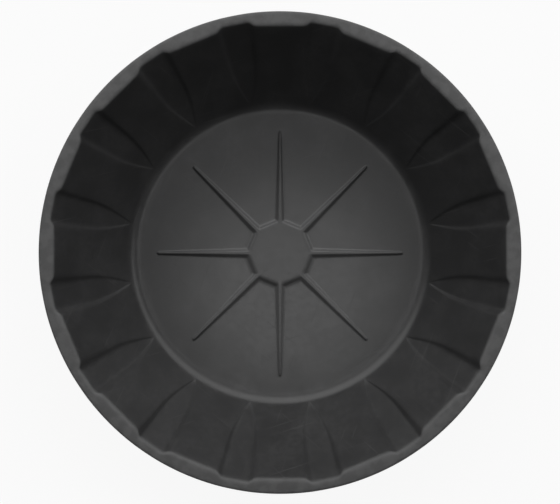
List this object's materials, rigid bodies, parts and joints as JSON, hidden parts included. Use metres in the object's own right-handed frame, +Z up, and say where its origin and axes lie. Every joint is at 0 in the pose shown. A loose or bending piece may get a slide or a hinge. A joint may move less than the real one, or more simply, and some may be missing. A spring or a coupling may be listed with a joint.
{
  "type": "gold pan",
  "caption": "Round shallow gold pan in black plastic with a fluted sloping wall, a flat rim with its edge turned down, and a raised star of ribs on its flat floor.",
  "frame": {"origin": "centre of the underside of the floor, in the plane the pan rests on", "axes": "+Z up along the pan's axis, out of its mouth; +X through the middle of one wall panel and along one rib of the star"},
  "size_m": [0.356, 0.356, 0.06],
  "materials": {
    "black_plastic": "moulded polypropylene, satin to matte with a fine grain"
  },
  "bodies": {
    "root": {"pan": "black_plastic"}
  },
  "joints": []
}
